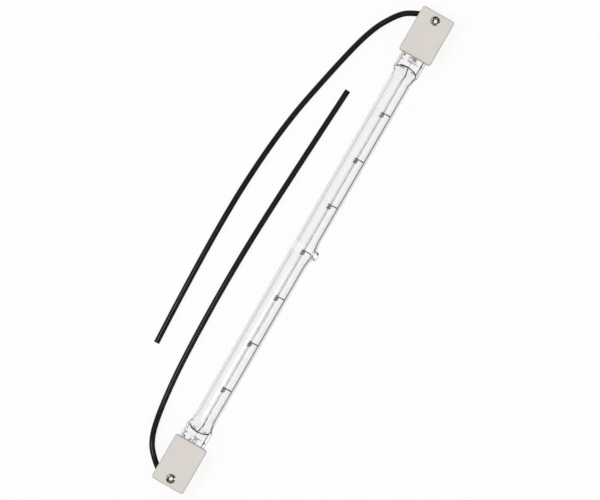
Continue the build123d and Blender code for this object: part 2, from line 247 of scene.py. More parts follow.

# Painted shade and painted highlights on the right and left rims: start and end, half width,
# strength
RIVET_SHADE_STROKES = {
    1: [
        ((-1.6, -0.3), (-1.15, 0.6), 0.2, 0.82),
        ((-1.3, 0.7), (-0.7, 0.65), 0.24, 1.0),
        ((-0.7, 0.65), (0.5, 1.15), 0.2, 1.0),
        ((0.5, 1.15), (1.15, 1.1), 0.26, 1.0),
        ((1.15, 1.1), (1.6, 0.5), 0.28, 1.0),
        ((1.6, 0.5), (1.3, -0.9), 0.3, 0.67),
        ((1.3, -0.9), (0.6, -1.35), 0.24, 0.92),
        ((0.6, -1.35), (-0.1, -1.6), 0.2, 0.92),
        ((-0.1, -1.6), (-0.8, -0.7), 0.22, 1.0),
        ((-0.8, -0.7), (-1.6, -0.95), 0.22, 0.92),
    ],
    -1: [
        ((-1.6, -0.5), (-1.75, 0.5), 0.24, 0.82),
        ((-1.75, 0.5), (-1.15, 1.1), 0.28, 1.0),
        ((-1.15, 1.1), (-0.15, 1.05), 0.28, 1.0),
        ((-0.15, 1.05), (0.4, 0.6), 0.22, 1.0),
        ((0.4, 0.6), (1.0, 0.6), 0.18, 0.82),
        ((1.6, 0.7), (1.35, -0.4), 0.22, 0.82),
        ((1.35, -0.4), (-0.6, -1.5), 0.2, 1.0),
        ((-0.6, -1.5), (-1.5, -0.8), 0.24, 0.82),
        ((1.75, -0.5), (1.35, -1.2), 0.2, 0.82),
    ],
}
RIVET_HIGHLIGHT_STROKES = {
    1: [
        ((-1.05, -0.05), (-0.5, 0.05), 0.26, 0.9),
        ((-0.7, -1.2), (-0.45, -1.75), 0.26, 0.9),
        ((-0.3, 1.6), (-0.9, 1.3), 0.25, 0.35),
    ],
    -1: [
        ((1.0, -0.05), (0.5, 0.0), 0.28, 0.9),
        ((0.6, -1.3), (0.85, -1.7), 0.28, 0.9),
        ((0.35, 1.3), (0.8, 1.0), 0.2, 0.6),
    ],
}

# Patterns: scales count the noise's cells in a metre, and edges are where a patch sets in
PATCH_DETAIL = 3.0
PATCH_EDGES = (0.35, 0.65)
GRAIN_DETAIL = 4.0
MARK_GRAIN = 1500.0
MARK_GRAIN_EDGES = (0.35, 0.5)
MARK_FAINTEST = 0.72
METAL_PATCHES = 600.0
METAL_GRAIN = 4000.0

# Painted shade along the blocks' edges: full up to the first distance from a face, gone at the
# second
EDGE_SHADE_REACH = (0.1, 0.7)

# Painted shade on glass seen at a slant, for the dark lines along the tube's walls: the tint sets
# in between these, where 0 is face-on and 1 is edge-on
RIM_SHADE_FACING = (0.52, 0.82)

# Inner leads: the glass wets them gradually between these distances past the hollow's end
WETTED = (-1.0, 0.6)

# Ground: its size, and the painted shadow that the glass shows on it, as brightness at shares of
# the way across
GROUND_SIZE = 6000.0
PAINTED_SHADOW_REACH = 20.0
PAINTED_SHADOW_STOPS = [(0.0, 0.06), (0.22, 0.06), (0.33, 0.9), (0.70, 0.88), (0.85, 0.6), (1.0, 0.6)]
UNSHADED_UNDER_TIP = 0.95
TIP_UNSHADED_REACH = (1.5, 2.1)
SEEN_SHARE = 0.88
THROUGH_SHARE = 0.95

# World: brightest towards this direction; the heights and strengths between which it changes
SKY_LEAN = (0.0, 0.45, 0.9)
SKY_HEIGHTS = (-0.4, 1.0)
SKY_STRENGTHS = (0.25, 0.95)

# Lamps: name, place, width, power in watts
LAMPS = [
    ("window", (-120, 330, 760), 180, 1.6),
    ("fill", (150, -420, 620), 600, 0.5),
]


def smooth(share):
    """Eases from 0 to 1 as the share does."""
    share = min(max(share, 0.0), 1.0)
    return share * share * (3 - 2 * share)


def blend(start, end, share):
    """The value at a share of the way from start to end."""
    return start + (end - start) * share


def steps(start, end, count):
    """Evenly spaced values from start up to, but not including, end."""
    return [blend(start, end, number / count) for number in range(count)]


# Modelling

def deselect():
    bpy.ops.object.select_all(action="DESELECT")


def choose(piece):
    """Make a piece the only selected and active one."""
    deselect()
    piece.select_set(True)
    bpy.context.view_layer.objects.active = piece


def newest(name):
    """Name the object that an operator has just added."""
    piece = bpy.context.object
    piece.name = name
    piece.data.name = name
    return piece


def move_points(piece, place):
    """Put every vertex where a function of its old place, in millimetres, says."""
    for vertex in piece.data.vertices:
        vertex.co = Vector(place(vertex.co / MM)) * MM
    piece.data.update()


def apply_modifiers(piece):
    choose(piece)
    for modifier in list(piece.modifiers):
        bpy.ops.object.modifier_apply(modifier=modifier.name)


def tidy_normals(piece, inside=False):
    """Merge doubled points and turn the faces outwards, or inwards for the wall of a hollow."""
    choose(piece)
    bpy.ops.object.mode_set(mode="EDIT")
    bpy.ops.mesh.select_all(action="SELECT")
    bpy.ops.mesh.remove_doubles(threshold=MERGE_GAP * MM)
    bpy.ops.mesh.normals_make_consistent(inside=inside)
    bpy.ops.object.mode_set(mode="OBJECT")


def smooth_faces(piece, sharpest):
    """Shade a piece smooth, but for edges sharper than an angle."""
    choose(piece)
    bpy.ops.object.shade_smooth_by_angle(angle=sharpest)


def add_round_line(name, points, diameter, line_steps, rounding):
    """A round bar along a smooth line, whose control points are given in metres."""
    line = bpy.data.curves.new(name, "CURVE")
    line.dimensions = "3D"
    spline = line.splines.new("NURBS")
    spline.points.add(len(points) - 1)
    for control, point in zip(spline.points, points):
        control.co = (*point, 1)
    spline.order_u = 3
    spline.use_endpoint_u = True
    spline.resolution_u = line_steps
    line.bevel_depth = diameter / 2 * MM
    line.bevel_resolution = rounding
    line.use_fill_caps = True
    bar = bpy.data.objects.new(name, line)
    bpy.context.scene.collection.objects.link(bar)
    return bar


def finish_piece(piece, finish, replaced=()):
    """Give a piece its material and slot, let it ride on the body and hide what it replaces."""
    piece.data.materials.clear()
    piece.data.materials.append(finish)
    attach(piece, "root")
    if replaced:
        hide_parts(*replaced)


# Camera

def add_camera():
    place = (VIEW_CENTRE[0] * MM, VIEW_CENTRE[1] * MM, (AXIS_Z + VIEW_DISTANCE) * MM)
    bpy.ops.object.camera_add(location=place, rotation=(0, 0, VIEW_TURN))
    camera = bpy.context.object
    camera.data.sensor_width = SENSOR_WIDTH
    camera.data.lens = SENSOR_WIDTH * VIEW_DISTANCE / VIEW_WIDTH
    camera.data.clip_start = NEAREST_SEEN * MM
    camera.data.clip_end = FURTHEST_SEEN * MM
    bpy.context.scene.camera = camera


# Nodes of the materials

def maths(tree, operation, *values):
    """A Math node on numbers and outputs; returns its output."""
    node = tree.nodes.new("ShaderNodeMath")
    node.operation = operation
    for entry, value in zip(node.inputs, values):
        if isinstance(value, (int, float)):
            entry.default_value = value
        else:
            tree.links.new(value, entry)
    return node.outputs["Value"]


def vector_maths(tree, operation, *values):
    """A Vector Math node on vectors and outputs; returns the node."""
    node = tree.nodes.new("ShaderNodeVectorMath")
    node.operation = operation
    for entry, value in zip(node.inputs, values):
        if isinstance(value, (tuple, Vector)):
            entry.default_value = value
        else:
            tree.links.new(value, entry)
    return node


def ramped(tree, value, start, end, low=0.0, high=1.0, kind="SMOOTHSTEP"):
    """Goes from low to high as the value goes from start to end; softly, unless kind is LINEAR."""
    spread = tree.nodes.new("ShaderNodeMapRange")
    spread.interpolation_type = kind
    spread.inputs["From Min"].default_value = start
    spread.inputs["From Max"].default_value = end
    spread.inputs["To Min"].default_value = low
    spread.inputs["To Max"].default_value = high
    tree.links.new(value, spread.inputs["Value"])
    return spread.outputs["Result"]


def socket(sockets, name):
    """The socket of that name that is in use."""
    return next(found for found in sockets if found.name == name and found.enabled)


def grey(value):
    return (value, value, value)


def mixed_colour(tree, share, first, second):
    """A colour blended from the first to the second, each a colour or an output."""
    mix = tree.nodes.new("ShaderNodeMix")
    mix.data_type = "RGBA"
    tree.links.new(share, socket(mix.inputs, "Factor"))
    for name, colour in (("A", first), ("B", second)):
        if isinstance(colour, tuple):
            socket(mix.inputs, name).default_value = (*colour, 1)
        else:
            tree.links.new(colour, socket(mix.inputs, name))
    return socket(mix.outputs, "Result")


def mixed_shader(tree, share, first, second):
    """A shader blended from the first to the second by an output."""
    mix = tree.nodes.new("ShaderNodeMixShader")
    tree.links.new(share, mix.inputs["Fac"])
    tree.links.new(first, mix.inputs[1])
    tree.links.new(second, mix.inputs[2])
    return mix.outputs["Shader"]


def own_place(tree):
    """The place on a piece, in metres."""
    return tree.nodes.new("ShaderNodeTexCoord").outputs["Object"]


def flat_place(tree):
    """The place on a piece seen from above, in millimetres."""
    return vector_maths(tree, "MULTIPLY", own_place(tree), (1 / MM, 1 / MM, 0.0)).outputs["Vector"]


def split_place(tree, place):
    """The X, Y and Z outputs of a place."""
    split = tree.nodes.new("ShaderNodeSeparateXYZ")
    tree.links.new(place, split.inputs["Vector"])
    return split.outputs


def stroke_mask(tree, place, start, end, half_width, strength):
    """A soft-edged stroke between two places, in millimetres."""
    start = Vector((*start, 0))
    run = Vector((*end, 0)) - start
    offset = vector_maths(tree, "SUBTRACT", place, start).outputs["Vector"]
    along = vector_maths(tree, "DOT_PRODUCT", offset, run).outputs["Value"]
    share = ramped(tree, along, 0.0, run.length_squared, kind="LINEAR")
    nearest = vector_maths(tree, "SCALE", run)
    tree.links.new(share, nearest.inputs["Scale"])
    gap = vector_maths(tree, "DISTANCE", offset, nearest.outputs["Vector"]).outputs["Value"]
    return ramped(tree, gap, half_width - STROKE_SOFT, half_width + STROKE_SOFT, strength, 0.0)


def strongest_of(tree, masks):
    """The strongest of several masks at each place."""
    strongest = masks[0]
    for mask in masks[1:]:
        strongest = maths(tree, "MAXIMUM", strongest, mask)
    return strongest


def near_face(tree, value, face):
    """A mask that rises to 1 close to a block's face."""
    full, gone = EDGE_SHADE_REACH
    gap = maths(tree, "ABSOLUTE", maths(tree, "SUBTRACT", value, face * MM))
    return ramped(tree, gap, full * MM, gone * MM, 1.0, 0.0)


# Node groups

def add_mottling_group():
    """Soft patches between two colours, with a fine grain as height."""
    group = bpy.data.node_groups.new("soft mottling", "ShaderNodeTree")
    for name, direction, kind in (
        ("Scale", "INPUT", "NodeSocketFloat"),
        ("Stretch", "INPUT", "NodeSocketVector"),
        ("Grain Scale", "INPUT", "NodeSocketFloat"),
        ("First Colour", "INPUT", "NodeSocketColor"),
        ("Second Colour", "INPUT", "NodeSocketColor"),
        ("Color", "OUTPUT", "NodeSocketColor"),
        ("Mask", "OUTPUT", "NodeSocketFloat"),
        ("Height", "OUTPUT", "NodeSocketFloat"),
    ):
        group.interface.new_socket(name=name, in_out=direction, socket_type=kind)
    entry = group.nodes.new("NodeGroupInput")
    leave = group.nodes.new("NodeGroupOutput")
    mapping = group.nodes.new("ShaderNodeMapping")
    group.links.new(own_place(group), mapping.inputs["Vector"])
    group.links.new(entry.outputs["Stretch"], mapping.inputs["Scale"])
    noises = []
    for scale, detail in (("Scale", PATCH_DETAIL), ("Grain Scale", GRAIN_DETAIL)):
        noise = group.nodes.new("ShaderNodeTexNoise")
        noise.inputs["Detail"].default_value = detail
        group.links.new(mapping.outputs["Vector"], noise.inputs["Vector"])
        group.links.new(entry.outputs[scale], noise.inputs["Scale"])
        noises.append(noise.outputs["Fac"])
    patches, grain = noises
    mask = ramped(group, patches, *PATCH_EDGES, kind="LINEAR")
    first, second = entry.outputs["First Colour"], entry.outputs["Second Colour"]
    group.links.new(mixed_colour(group, mask, first, second), leave.inputs["Color"])
    group.links.new(mask, leave.inputs["Mask"])
    group.links.new(grain, leave.inputs["Height"])
    return group


def add_glass_shade_group():
    """Painted shade: dark strokes at the hollow's closed end, the pressed pinches and the drawn-off
    tip, where refraction darkens the glass; puts out a mask.
    """
    group = bpy.data.node_groups.new("painted glass shade", "ShaderNodeTree")
    group.interface.new_socket(name="Mask", in_out="OUTPUT", socket_type="NodeSocketFloat")
    flat = flat_place(group)
    split = split_place(group, flat)
    either_end = group.nodes.new("ShaderNodeCombineXYZ")
    group.links.new(maths(group, "ABSOLUTE", split["X"]), either_end.inputs["X"])
    group.links.new(split["Y"], either_end.inputs["Y"])
    masks = [stroke_mask(group, either_end.outputs["Vector"], *stroke) for stroke in PINCH_SHADE_STROKES]
    masks += [stroke_mask(group, flat, *stroke) for stroke in TIP_SHADE_STROKES]
    noise = group.nodes.new("ShaderNodeTexNoise")
    noise.inputs["Scale"].default_value = MARK_GRAIN
    group.links.new(own_place(group), noise.inputs["Vector"])
    broken = ramped(group, noise.outputs["Fac"], *MARK_GRAIN_EDGES, low=MARK_FAINTEST)
    mask = maths(group, "MULTIPLY", strongest_of(group, masks), broken)
    leave = group.nodes.new("NodeGroupOutput")
    group.links.new(mask, leave.inputs["Mask"])
    return group


def add_rivet_shade_group():
    """Painted shade and painted highlights on the rivets' rims, as dark and bright strokes."""
    group = bpy.data.node_groups.new("rivet painted shade and highlights", "ShaderNodeTree")
    flat = flat_place(group)
    leave = group.nodes.new("NodeGroupOutput")
    for name, strokes in (("Dark", RIVET_SHADE_STROKES), ("Bright", RIVET_HIGHLIGHT_STROKES)):
        group.interface.new_socket(name=name, in_out="OUTPUT", socket_type="NodeSocketFloat")
        masks = []
        for sign, lines in strokes.items():
            middle = Vector((sign * RIVET_X, 0))
            for start, end, half_width, strength in lines:
                place = [middle + Vector(point) for point in (start, end)]
                masks.append(stroke_mask(group, flat, *place, half_width, strength))
        group.links.new(strongest_of(group, masks), leave.inputs[name])
    return group


# Materials

def new_finish(name, constants):
    """A new material, with constants on its shader's own sockets."""
    finish = bpy.data.materials.new(name)
    finish.use_nodes = True
    for entry, value in constants.items():
        shader_of(finish).inputs[entry].default_value = value
    return finish


def shader_of(finish):
    return finish.node_tree.nodes["Principled BSDF"]


def add_group(finish, group, name):
    """Place a node group in a material, under a name."""
    node = finish.node_tree.nodes.new("ShaderNodeGroup")
    node.node_tree = group
    node.name = name
    return node


def add_mottling(finish, scale, grain_scale, stretch=(1, 1, 1)):
    """Place the mottling in a material, with the scales of its patches and grain."""
    pattern = add_group(finish, MOTTLING, "mottling")
    pattern.inputs["Scale"].default_value = scale
    pattern.inputs["Grain Scale"].default_value = grain_scale
    pattern.inputs["Stretch"].default_value = stretch
    return pattern


def mottled(name, first, second, scale, grain_scale, constants):
    """A new material whose colour varies between two."""
    finish = new_finish(name, constants)
    pattern = add_mottling(finish, scale, grain_scale)
    pattern.inputs["First Colour"].default_value = (*first, 1)
    pattern.inputs["Second Colour"].default_value = (*second, 1)
    finish.node_tree.links.new(pattern.outputs["Color"], shader_of(finish).inputs["Base Color"])
    return finish


def blend_colour(finish, share, colour):
    """Blend the colour that a material has so far towards another by an output."""
    tree = finish.node_tree
    entry = shader_of(finish).inputs["Base Color"]
    before = entry.links[0].from_socket
    tree.links.new(mixed_colour(tree, share, before, colour), entry)


def add_bump(finish, strength, depth):
    """Raise the mottling's grain."""
    tree = finish.node_tree
    bump = tree.nodes.new("ShaderNodeBump")
    bump.inputs["Strength"].default_value = strength
    bump.inputs["Distance"].default_value = depth * MM
    tree.links.new(tree.nodes["mottling"].outputs["Height"], bump.inputs["Height"])
    tree.links.new(bump.outputs["Normal"], shader_of(finish).inputs["Normal"])


def vary_roughness(finish, low, high):
    """Let the roughness follow the mottling's patches."""
    tree = finish.node_tree
    mask = tree.nodes["mottling"].outputs["Mask"]
    rough = ramped(tree, mask, 0.0, 1.0, low, high, kind="LINEAR")
    tree.links.new(rough, shader_of(finish).inputs["Roughness"])


def quartz_glass():
    """Clear fused quartz that lets light through to the ground beneath it; its colour carries
    painted shade at a slant and in dark strokes.
    """
    constants = {"Roughness": 0.0, "IOR": 1.458, "Transmission Weight": 1.0}
    finish = new_finish("quartz glass", constants)
    tree = finish.node_tree
    # Painted shade: the glass's colour darkens where it is seen at a slant
    facing = tree.nodes.new("ShaderNodeLayerWeight").outputs["Facing"]
    clear = (0.985, 0.99, 0.99)
    painted_rim_shade = (0.34, 0.35, 0.35)
    glass = mixed_colour(tree, ramped(tree, facing, *RIM_SHADE_FACING), clear, painted_rim_shade)
    tree.links.new(glass, shader_of(finish).inputs["Base Color"])
    # Painted shade: the dark strokes are blended into the glass's colour
    marks = add_group(finish, GLASS_SHADE, "marks")
    blend_colour(finish, marks.outputs["Mask"], grey(0.0))
    add_mottling(finish, scale=40.0, grain_scale=110.0, stretch=(0.12, 1, 1))
    add_bump(finish, strength=0.12, depth=0.05)
    see_through = tree.nodes.new("ShaderNodeBsdfTransparent")
    see_through.inputs["Color"].default_value = (*grey(0.93), 1)
    shadow = tree.nodes.new("ShaderNodeLightPath").outputs["Is Shadow Ray"]
    solid = shader_of(finish).outputs["BSDF"]
    surface = mixed_shader(tree, shadow, solid, see_through.outputs["BSDF"])
    tree.links.new(surface, tree.nodes["Material Output"].inputs["Surface"])
    return finish


def ceramic():
    """Unglazed pressed ceramic, beige with faint warm and grey patches and painted shade along the
    edges.
    """
    warm = (0.70, 0.645, 0.60)
    cool = (0.67, 0.635, 0.60)
    edge_shade_colour = (0.52, 0.48, 0.45)
    finish = mottled("pressed ceramic", warm, cool, scale=90.0, grain_scale=2600.0, constants={})
    tree = finish.node_tree
    split = split_place(tree, own_place(tree))
    along = maths(tree, "ABSOLUTE", split["X"])
    off = maths(tree, "ABSOLUTE", split["Y"])
    faces = ((along, OUTER_FACE), (along, INNER_FACE), (off, SIDE_FACE))
    edges = [near_face(tree, value, face) for value, face in faces]
    # Painted shade: the colour darkens along the blocks' edges
    blend_colour(finish, strongest_of(tree, edges), edge_shade_colour)
    vary_roughness(finish, low=0.62, high=0.8)
    add_bump(finish, strength=0.35, depth=0.05)
    return finish


def lead_insulation():
    """Glossy black insulation."""
    finish = mottled(
        "black insulation",
        grey(0.002),
        grey(0.005),
        scale=250.0,
        grain_scale=900.0,
        constants={"Specular IOR Level": 0.03, "Coat Weight": 0.26, "Coat Roughness": 0.08},
    )
    vary_roughness(finish, low=0.13, high=0.2)
    add_bump(finish, strength=0.12, depth=0.04)
    return finish


def metal(name, first, second, roughness, patches=METAL_PATCHES):
    """Bare metal with a fine drawn grain."""
    finish = mottled(name, first, second, patches, METAL_GRAIN, {"Metallic": 1.0})
    vary_roughness(finish, *roughness)
    add_bump(finish, strength=0.3, depth=0.02)
    return finish


def molybdenum():
    """Wire that is dark in the hollow and bright where the glass wets it."""
    bright = (0.62, 0.61, 0.60)
    finish = metal("molybdenum wire", grey(0.04), (0.09, 0.09, 0.085), roughness=(0.3, 0.45))
    tree = finish.node_tree
    along = maths(tree, "ABSOLUTE", split_place(tree, own_place(tree))["X"])
    wetted = ramped(tree, along, *[(CAVITY_END + place) * MM for place in WETTED])
    blend_colour(finish, wetted, bright)
    return finish


def rivet_steel():
    """Dull steel with painted shade and painted highlights on the rivet's torn rim."""
    brown = (0.22, 0.20, 0.18)
    pale = (0.42, 0.40, 0.38)
    finish = metal("rivet steel", brown, pale, roughness=(0.25, 0.5), patches=900.0)
    torn = add_group(finish, RIVET_SHADE_AND_HIGHLIGHTS, "rivet painted shade and highlights")
    # Painted highlights, then painted shade, from the rivet strokes
    blend_colour(finish, torn.outputs["Bright"], (0.88, 0.86, 0.83))
    blend_colour(finish, torn.outputs["Dark"], (0.010, 0.009, 0.008))
    return finish


# Leads

def route_points(route, side):
    """A lead's route from its stripped end in the block; side is 1 at the right, -1 at the left."""
    start_x = OUTER_FACE - STRIP_FROM_OUTER_FACE
    start_y = SIDE_FACE - STRIP_FROM_SIDE_FACE
    points = [Vector((side * start_x, start_y, AXIS_Z)) * MM]
    for inwards, outwards, rise in route:
        height = blend(LEAD_D / 2, AXIS_Z, rise)
        points.append(Vector((side * (start_x - inwards), start_y + outwards, height)) * MM)
    return points


def add_lead(name, route, side):
    """An insulated lead, from its stripped end in the block to its bare free end."""
    points = route_points(route, side)
    lead = add_round_line(f"insulated_lead_{name}", points, LEAD_D, LEAD_STEPS, LEAD_ROUNDING)
    finish_piece(lead, INSULATION, [f"lead_{name}"])


# Glass envelope

def ring_stack(name, stations):
    """A closed bar of radius 1 mm round X, with a ring of points at each station."""
    deselect()
    bpy.ops.mesh.primitive_circle_add(
        vertices=GLASS_SIDES, radius=MM, fill_type="NGON", rotation=(0, math.pi / 2, 0)
    )
    bar = newest(name)
    bpy.ops.object.transform_apply(location=True, rotation=True, scale=True)
    bpy.ops.object.mode_set(mode="EDIT")
    bpy.ops.mesh.select_all(action="SELECT")
    bpy.ops.transform.translate(value=(stations[0] * MM, 0, 0))
    for here, there in zip(stations, stations[1:]):
        move = {"value": ((there - here) * MM, 0, 0)}
        bpy.ops.mesh.extrude_region_move(TRANSFORM_OT_translate=move)
    bpy.ops.object.mode_set(mode="OBJECT")
    return bar


def mirrored_stations(half):
    """Stations from the left end to the right one, from those of the right half."""
    return [-x for x in reversed(half) if x > 0] + list(half)


def pinch_height(share):
    """Half height of the pinch at a share of its half width: a web and a thicker edge bead."""
    y = PINCH_HALF_WIDTH * share
    bead_middle = PINCH_HALF_WIDTH - BEAD_WIDTH / 2
    off = (y - bead_middle) / (BEAD_WIDTH / 2)
    fullness = 1 - min(abs(off), 1.0) ** BEAD_FULLNESS
    bead = BEAD_HALF_HEIGHT * fullness ** (1 / BEAD_ROUNDING)
    web = PINCH_HALF_WEB if off < 0 else 0.0
    return (bead**BEAD_JOIN + web**BEAD_JOIN) ** (1 / BEAD_JOIN)


def swelling(x, angle, height):
    """How far the wall stands out towards the tip."""
    off = abs(x - TIP_X) / SWELL_HALF_LENGTH
    if off >= 1:
        return 0.0
    return height * (0.5 + 0.5 * math.cos(math.pi * off)) * max(0.0, -math.cos(angle)) ** 2


def flattened(along):
    """How flat the glass is at a distance from the middle: softly at first, up to an edge."""
    share = min(max((along - FLATTEN_START) / (FLATTEN_END - FLATTEN_START), 0.0), 1.0)
    slope = 1 / (1 - FLATTEN_EASE / 2)
    if share < FLATTEN_EASE:
        return slope * share * share / (2 * FLATTEN_EASE)
    return slope * (share - FLATTEN_EASE / 2)


def outer_skin(point):
    """Place of a point of the glass's outside: round, flared, then pinched flat."""
    x, angle = point.x, math.atan2(point.z, point.y)
    along = abs(x)
    wide = smooth((along - FLARE_X) / FLARE_LENGTH)
    share = math.cos(angle)
    y = blend(TUBE_RADIUS, PINCH_HALF_WIDTH, wide) * share
    flat = flattened(along + FLATTEN_BOW * y * y)
    height = blend(TUBE_RADIUS * abs(math.sin(angle)), pinch_height(abs(share)), flat)
    ridge = max(0.0, 1 - ((along - RIDGE_X) / RIDGE_HALF_WIDTH) ** 2)
    if abs(y) < PINCH_HALF_WIDTH - BEAD_WIDTH:
        height += RIDGE_HEIGHT * ridge
    for dimple_x, dimple_y in DIMPLE_PLACES:
        gap = math.hypot(along - dimple_x, y - dimple_y) / DIMPLE_RADIUS
        height -= DIMPLE_DEPTH * math.exp(-gap * gap)
    y -= swelling(x, angle, SWELL_HEIGHT)
    return x, y, AXIS_Z + math.copysign(height, math.sin(angle))


def inner_skin(point):
    """Place of a point of the hollow's wall: it closes to an edge that bows outwards."""
    x, angle = point.x, math.atan2(point.z, point.y)
    along = abs(x)
    taper = (along - (CAVITY_END - CAVITY_TAPER)) / CAVITY_TAPER
    wide = smooth(CAVITY_WIDENING * taper)
    y = blend(BORE_RADIUS, CAVITY_HALF_WIDTH, wide) * math.cos(angle)
    height = blend(BORE_RADIUS, CAVITY_END_HALF_HEIGHT, smooth(taper))
    off = max(0.0, (along - (CAVITY_END - CAVITY_ROUNDING)) / CAVITY_ROUNDING)
    height *= math.sqrt(max(0.0, 1 - off * off)) * math.sin(angle)
    bow = CAVITY_BOW * (y / CAVITY_HALF_WIDTH) ** 2 * smooth(taper)
    y -= swelling(x, angle, SWELL_INSIDE)
    return x - math.copysign(bow, x), y, AXIS_Z + height


def drop_caps(piece):
    """Delete the two flat ends of a bar, so that its closed-up ends can be merged."""
    choose(piece)
    for face in piece.data.polygons:
        face.select = len(face.vertices) == GLASS_SIDES
    bpy.ops.object.mode_set(mode="EDIT")
    bpy.ops.mesh.select_mode(type="FACE")
    bpy.ops.mesh.delete(type="ONLY_FACE")
    bpy.ops.object.mode_set(mode="OBJECT")


def tip_outline():
    """Radius and Y of the points of half the tip's outline, from its end to inside the wall."""
    outline = []
    for number in range(TIP_ROUND_STEPS + 1):
        angle = math.pi / 2 * number / TIP_ROUND_STEPS
        y = blend(TIP_WIDEST_Y, TIP_END_Y, math.cos(angle))
        outline.append((TIP_HALF_WIDTH * math.sin(angle), y))
    for number in range(1, TIP_NECK_STEPS + 1):
        share = number / TIP_NECK_STEPS
        radius = blend(TIP_HALF_WIDTH, TIP_NECK, smooth(share))
        outline.append((radius, blend(TIP_WIDEST_Y, TIP_ROOT_Y, share)))
    return outline


def add_tip():
    """The sealed exhaust tip: a bar round Y with a ring of points for each of its outline's."""
    outline = tip_outline()
    deselect()
    bpy.ops.mesh.primitive_circle_add(
        vertices=TIP_SIDES, radius=MM, fill_type="NGON", rotation=(math.pi / 2, 0, 0)
    )
    tip = newest("exhaust_tip")
    bpy.ops.object.transform_apply(location=True, rotation=True, scale=True)
    bpy.ops.object.mode_set(mode="EDIT")
    bpy.ops.mesh.select_all(action="SELECT")
    for _ in outline[1:]:
        bpy.ops.mesh.extrude_region_move(TRANSFORM_OT_translate={"value": (0, MM, 0)})
    bpy.ops.object.mode_set(mode="OBJECT")

    def shaped(point):
        radius, y = outline[min(round(point.y), len(outline) - 1)]
        angle = math.atan2(point.z, point.x)
        return TIP_X + radius * math.cos(angle), y, AXIS_Z + radius * math.sin(angle)

    move_points(tip, shaped)
    tidy_normals(tip)
    return tip


def add_outside():
    """The outside of the glass, with the tip joined on."""
    half = steps(0, CLOSE_TO_TIP, TIP_RINGS) + steps(CLOSE_TO_TIP, CLOSE_TO_FLARE, PLAIN_RINGS)
    half += steps(CLOSE_TO_FLARE, CLOSE_TO_RIDGE, FLARE_RINGS)
    half += steps(CLOSE_TO_RIDGE, INNER_FACE, RIDGE_RINGS)
    half += [INNER_FACE, PINCH_END - END_EDGE, PINCH_END]
    outside = ring_stack("quartz_tube", mirrored_stations(half))
    move_points(outside, outer_skin)
    tidy_normals(outside)
    tip = add_tip()
    join = outside.modifiers.new("tip", "BOOLEAN")
    join.operation = "UNION"
    join.solver = "EXACT"
    join.object = tip
    apply_modifiers(outside)
    bpy.data.objects.remove(tip)
    return outside


def add_hollow():
    """The wall of the hollow, with its faces turned inwards."""
    taper_start = CAVITY_END - CAVITY_TAPER
    rounding_start = CAVITY_END - CAVITY_ROUNDING
    half = steps(0, CLOSE_TO_TIP, TIP_RINGS) + steps(CLOSE_TO_TIP, taper_start, PLAIN_RINGS)
    half += steps(taper_start, rounding_start, FLARE_RINGS)
    for number in range(ROUNDING_RINGS + 1):
        share = math.sin(math.pi / 2 * number / ROUNDING_RINGS)
        half.append(blend(rounding_start, CAVITY_END, share))
    hollow = ring_stack("hollow", mirrored_stations(half))
    move_points(hollow, inner_skin)
    drop_caps(hollow)
    tidy_normals(hollow, inside=True)
    return hollow


def add_envelope():
    """The glass, one piece with its sealed hollow."""
    outside = add_outside()
    hollow = add_hollow()
    deselect()
    hollow.select_set(True)
    outside.select_set(True)
    bpy.context.view_layer.objects.active = outside
    bpy.ops.object.join()
    smooth_faces(outside, SHARP_EDGE)
    finish_piece(outside, QUARTZ, ["quartz_envelope"])


# Filament, supports and inner leads

def add_filament():
    """The coil: a small ring of points screwed along X."""
    turns = round(2 * COIL_END / COIL_PITCH)
    deselect()
    bpy.ops.mesh.primitive_circle_add(
        vertices=COIL_WIRE_SIDES, radius=COIL_WIRE / 2 * MM, rotation=(math.pi / 2, 0, 0)
    )
    coil = newest("filament_coil")
    bpy.ops.object.transform_apply(location=True, rotation=True, scale=True)
    mid_radius = COIL_RADIUS - COIL_WIRE / 2
    move_points(coil, lambda point: (point.x, point.y, point.z + mid_radius))
    screw = coil.modifiers.new("turns", "SCREW")
    screw.axis = "X"
    screw.angle = 2 * math.pi
    screw.screw_offset = (2 * COIL_END - COIL_WIRE) / turns * MM
    screw.iterations = turns
    screw.steps = COIL_STEPS
    screw.render_steps = COIL_STEPS
    apply_modifiers(coil)
    start = -COIL_END + COIL_WIRE / 2
    move_points(coil, lambda point: (point.x + start, point.y + COIL_Y, point.z + AXIS_Z))
    choose(coil)
    bpy.ops.object.mode_set(mode="EDIT")
    bpy.ops.mesh.select_all(action="SELECT")
    bpy.ops.mesh.fill_holes(sides=COIL_WIRE_SIDES)
    bpy.ops.object.mode_set(mode="OBJECT")
    tidy_normals(coil)
    choose(coil)
    bpy.ops.object.shade_smooth()
    finish_piece(coil, TUNGSTEN, ["filament"])


def add_wire(name, points, diameter):
    """A round wire along points in millimetres, as a mesh."""
    points = [Vector(point) * MM for point in points]
    choose(add_round_line(name, points, diameter, WIRE_STEPS, WIRE_ROUNDING))
    bpy.ops.object.convert(target="MESH")
    wire = bpy.context.object
    tidy_normals(wire)
    smooth_faces(wire, SHARP_WIRE_EDGE)
    return wire


